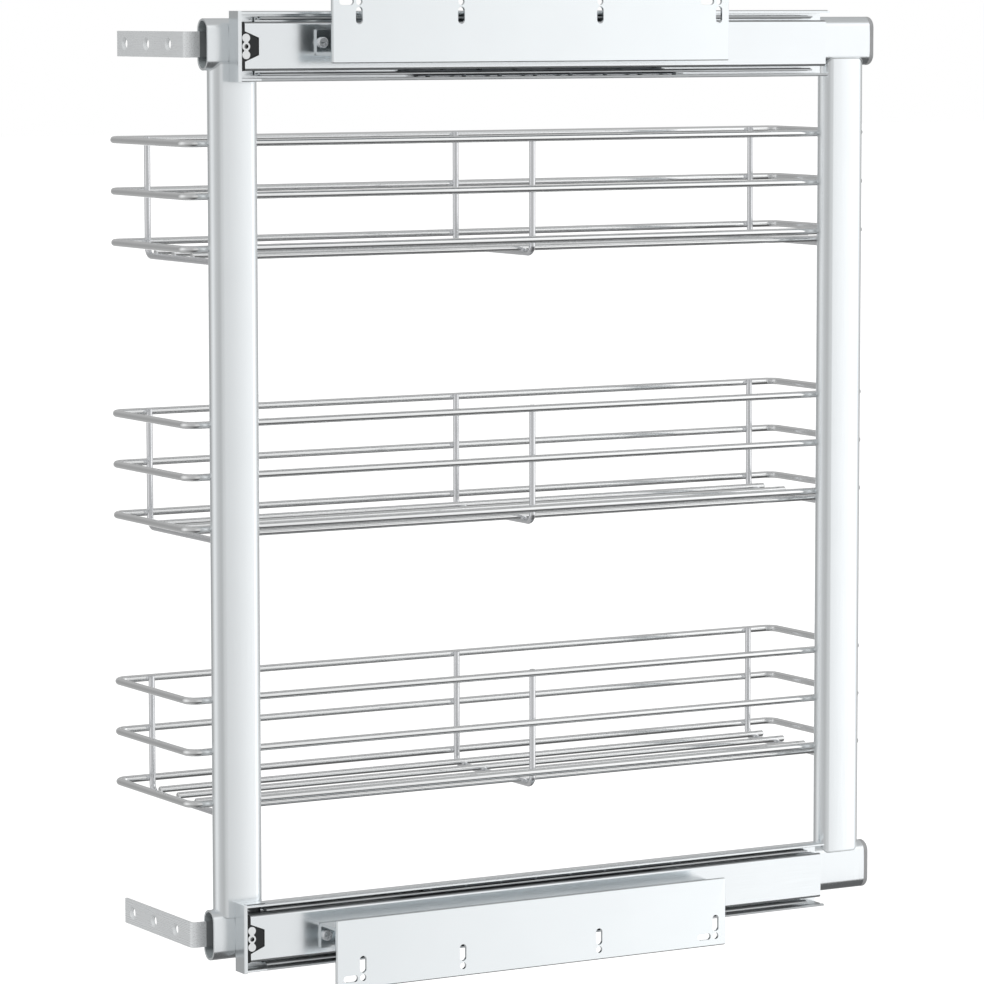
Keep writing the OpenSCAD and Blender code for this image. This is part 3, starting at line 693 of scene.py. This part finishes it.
def make_world():
    """White behind the object, and a soft grey and white surround that lights it."""
    world = bpy.data.worlds.new("studio")
    world.use_nodes = True
    g = Graph(world.node_tree)
    direction = g.add("ShaderNodeTexCoord").outputs["Generated"]
    parts = g.add("ShaderNodeSeparateXYZ", {"Vector": direction})
    turn = g.add("ShaderNodeMath", {0: parts.outputs["Y"], 1: parts.outputs["X"]}, operation="ARCTAN2")
    turn_part = g.spread(turn.outputs[0], 0, 1, -math.pi, math.pi)
    height = g.spread(parts.outputs["Z"], 0, 1, -1, 1)
    around = g.ramp(turn_part, around_stops(AROUND))
    floor = g.ramp(turn_part, around_stops(FLOOR_AROUND))
    sky_part = g.ramp(height, [(height_stop(SKY_FROM), 0), (height_stop(SKY_FULL), 1)], "EASE")
    floor_part = g.ramp(height, [(height_stop(FLOOR_FULL), 1), (height_stop(FLOOR_FROM), 0)], "EASE")
    behind = g.ramp(turn_part, around_stops(BACKDROP))
    behind_part = g.ramp(height, [(height_stop(BACKDROP_TOP), 1), (height_stop(BACKDROP_END), 0)])
    behind_part = g.add("ShaderNodeMath", {0: behind, 1: behind_part}, operation="MULTIPLY").outputs[0]
    surround = g.mix(behind_part, around, WHITE)
    surround = g.mix(sky_part, surround, (SKY, SKY, SKY, 1))
    surround = g.mix(floor_part, surround, floor)
    studio = g.add("ShaderNodeBackground", {"Color": surround, "Strength": 1.0})
    white = g.add("ShaderNodeBackground", {"Color": WHITE, "Strength": 1.0})
    seen = g.add("ShaderNodeLightPath").outputs["Is Camera Ray"]
    both = g.add("ShaderNodeMixShader", {0: seen, 1: studio.outputs[0], 2: white.outputs[0]})
    g.add("ShaderNodeOutputWorld", {"Surface": both.outputs[0]})
    bpy.context.scene.world = world


def make_sun():
    """A soft key lamp that the metal doesn't mirror."""
    data = bpy.data.lights.new("key", "SUN")
    data.energy = SUN_STRENGTH
    data.angle = math.radians(SUN_ANGLE)
    lamp = bpy.data.objects.new("key", data)
    lamp.rotation_euler = [math.radians(v) for v in SUN_TURN]
    lamp.visible_glossy = False
    bpy.context.collection.objects.link(lamp)


def make_floor():
    """A white floor that keeps the object's shadow and isn't mirrored in the metal."""
    material = bpy.data.materials.new("floor_paper")
    material.use_nodes = True
    g = Graph(material.node_tree)
    paper = g.add("ShaderNodeBsdfDiffuse", {"Color": FLOOR_PAPER})
    glow = g.add("ShaderNodeEmission", {"Color": WHITE, "Strength": FLOOR_GLOW})
    lit = g.add("ShaderNodeAddShader", {0: paper.outputs[0], 1: glow.outputs[0]})
    seen = g.add("ShaderNodeLightPath").outputs["Is Camera Ray"]
    both = g.add("ShaderNodeMixShader", {0: seen, 1: paper.outputs[0], 2: lit.outputs[0]})
    g.add("ShaderNodeOutputMaterial", {"Surface": both.outputs[0]})
    bm = bmesh.new()
    bmesh.ops.create_grid(bm, x_segments=1, y_segments=1, size=FLOOR_SIZE / 2)
    mesh = bpy.data.meshes.new("floor")
    bm.to_mesh(mesh)
    bm.free()
    mesh.materials.append(material)
    floor = bpy.data.objects.new("floor", mesh)
    floor.location = (0, 0, cad_box[0][2] - FLOOR_DROP)
    floor.visible_glossy = False
    bpy.context.collection.objects.link(floor)


# How the noise is stretched for grain along an axis, or not at all
ALONG_X = (1, 60, 60)
ALONG_Y = (60, 1, 60)
ALONG_Z = (40, 40, 1)
EVEN = (1, 1, 1)

# Fineness and depth of the grain, and size of the clouds in a surface's tone
GRAIN_DETAIL = 5.0
METAL_CLOUDS = 28
METAL_RELIEF = 0.02 * MM
GRIT_SCALE = 5200
GRIT_DETAIL = 2.0
PLASTIC_CLOUDS = 60
PLASTIC_RELIEF = 0.03 * MM
CLOUD_DETAIL = 3.0


def metal(name, light, dark, rough, grain, scale, bump=0.08, metallic=1.0):
    """Metal with a fine grain that runs along one axis, and faint larger clouds."""
    material = bpy.data.materials.new(name)
    material.use_nodes = True
    g = Graph(material.node_tree)
    lines = g.noise(grain, scale, detail=GRAIN_DETAIL)
    clouds = g.noise(EVEN, METAL_CLOUDS, detail=CLOUD_DETAIL)
    color = g.mix(g.spread(clouds, 0, 1), (*light, 1), (*dark, 1))
    roughness = g.spread(lines, rough[0], rough[1])
    normal = g.add("ShaderNodeBump", {"Height": lines, "Strength": bump, "Distance": METAL_RELIEF})
    shader = g.add("ShaderNodeBsdfPrincipled", {
        "Base Color": color, "Roughness": roughness, "Metallic": metallic,
        "Normal": normal.outputs["Normal"]})
    g.add("ShaderNodeOutputMaterial", {"Surface": shader.outputs[0]})
    return material


def plastic(name, light, dark, rough, bump):
    """Moulded plastic with a fine eroded texture."""
    material = bpy.data.materials.new(name)
    material.use_nodes = True
    g = Graph(material.node_tree)
    grit = g.noise(EVEN, GRIT_SCALE, detail=GRIT_DETAIL)
    clouds = g.noise(EVEN, PLASTIC_CLOUDS, detail=CLOUD_DETAIL)
    color = g.mix(g.spread(clouds, 0, 1), (*light, 1), (*dark, 1))
    roughness = g.spread(grit, rough[0], rough[1])
    normal = g.add("ShaderNodeBump", {"Height": grit, "Strength": bump, "Distance": PLASTIC_RELIEF})
    shader = g.add("ShaderNodeBsdfPrincipled", {
        "Base Color": color, "Roughness": roughness, "Metallic": 0.0,
        "Normal": normal.outputs["Normal"]})
    g.add("ShaderNodeOutputMaterial", {"Surface": shader.outputs[0]})
    return material


MATERIALS = {
    "tube_steel": metal(
        "tube_lacquer", (0.94, 0.975, 0.995), (0.925, 0.96, 0.98), (0.22, 0.27), ALONG_Z, 30, 0.04),
    # painted shade: a dull dark grey for the inside of the rails
    "painted_shade_inside": plastic(
        "tube_painted_shade_inside", (0.34, 0.37, 0.38), (0.28, 0.31, 0.32), (0.55, 0.70), 0.2),
    # painted shade: a dark grey for the bracket leg inside the rail and the lower channel's front gap
    "painted_shade_steel": plastic(
        "painted_shade_steel", (0.17, 0.18, 0.185), (0.14, 0.15, 0.155), (0.55, 0.70), 0.2),
    "plate_steel": metal(
        "plate_zinc", (0.94, 0.98, 1.0), (0.925, 0.965, 0.985), (0.12, 0.17), ALONG_Y, 25, 0.04),
    "slide_steel": metal(
        "slide_zinc", (0.925, 0.96, 0.98), (0.91, 0.945, 0.965), (0.19, 0.24), ALONG_Y, 25, 0.04),
    # painted shade: a darker metal for the races, lips and flanges of the slides
    "painted_shade_race": metal(
        "painted_shade_race", (0.55, 0.57, 0.58), (0.48, 0.50, 0.51), (0.25, 0.38), ALONG_Y, 25, 0.08, 0.75),
    # painted shade: a darker, duller metal for the faces that look up on the lower mount angle
    "painted_shade_zinc": metal(
        "painted_shade_zinc", (0.68, 0.70, 0.71), (0.60, 0.62, 0.63), (0.30, 0.42), ALONG_Y, 25, 0.08, 0.8),
    # painted shade: the ball cages are coloured near black so the slides' grooves read dark
    "cage_steel": metal(
        "painted_shade_cage", (0.12, 0.13, 0.14), (0.08, 0.09, 0.10), (0.25, 0.38), ALONG_Y, 25),
    "ball_steel": metal(
        "ball_polish", (0.60, 0.62, 0.64), (0.52, 0.54, 0.56), (0.08, 0.14), EVEN, 400, 0.02),
    "screw_steel": metal(
        "screw_zinc", (0.84, 0.86, 0.88), (0.78, 0.80, 0.82), (0.20, 0.30), EVEN, 900, 0.10, 0.6),
    "bracket_steel": metal(
        "bracket_nickel", (0.74, 0.76, 0.77), (0.71, 0.73, 0.74), (0.24, 0.34), ALONG_X, 30, 0.10, 0.3),
    "wire_chrome": metal(
        "wire_chrome", (0.94, 0.95, 0.955), (0.91, 0.92, 0.925), (0.07, 0.13), EVEN, 500, 0.03),
    "cross_wire_chrome": metal(
        "cross_wire_chrome", (0.88, 0.89, 0.91), (0.85, 0.86, 0.88), (0.14, 0.22), EVEN, 500, 0.03),
    "cap_plastic": plastic(
        "cap_plastic", (0.375, 0.38, 0.385), (0.35, 0.355, 0.36), (0.38, 0.52), 0.3),
    "stop_plastic": plastic(
        "stop_plastic", (0.010, 0.012, 0.014), (0.007, 0.009, 0.010), (0.34, 0.46), 0.3),
    "clip_plastic": plastic(
        "clip_plastic", (0.86, 0.88, 0.89), (0.83, 0.85, 0.86), (0.18, 0.26), 0.1),
}

for name, node in NODES.items():
    for slot in node.material_slots:
        slot.material = MATERIALS[SLOTS[name]]

for basket in BASKETS:
    for ring in RINGS:
        make_ring(f"{basket}_basket_{ring}")
    make_cross_wires(f"{basket}_basket_cross_wires")
    make_floor_wires(f"{basket}_basket_floor_wires")
    make_basket_welds(basket)

for post in ("front_post", "rear_post"):
    make_post(post)

for level in LEVELS:
    make_rail(level)
    make_slide(level)
    make_stop_clip(level)
    make_bracket_screws(level)
    refine(f"{level}_end_stop", "carriage", MOULDED_EDGE)
    refine(f"{level}_rail_cap", "carriage", SHEET_EDGE)
    make_door_bracket(level)
    make_mount_angle(level)
    make_mount_plate(level)

make_camera()
make_world()
make_sun()
make_floor()
bpy.context.scene.view_settings.view_transform = "Standard"
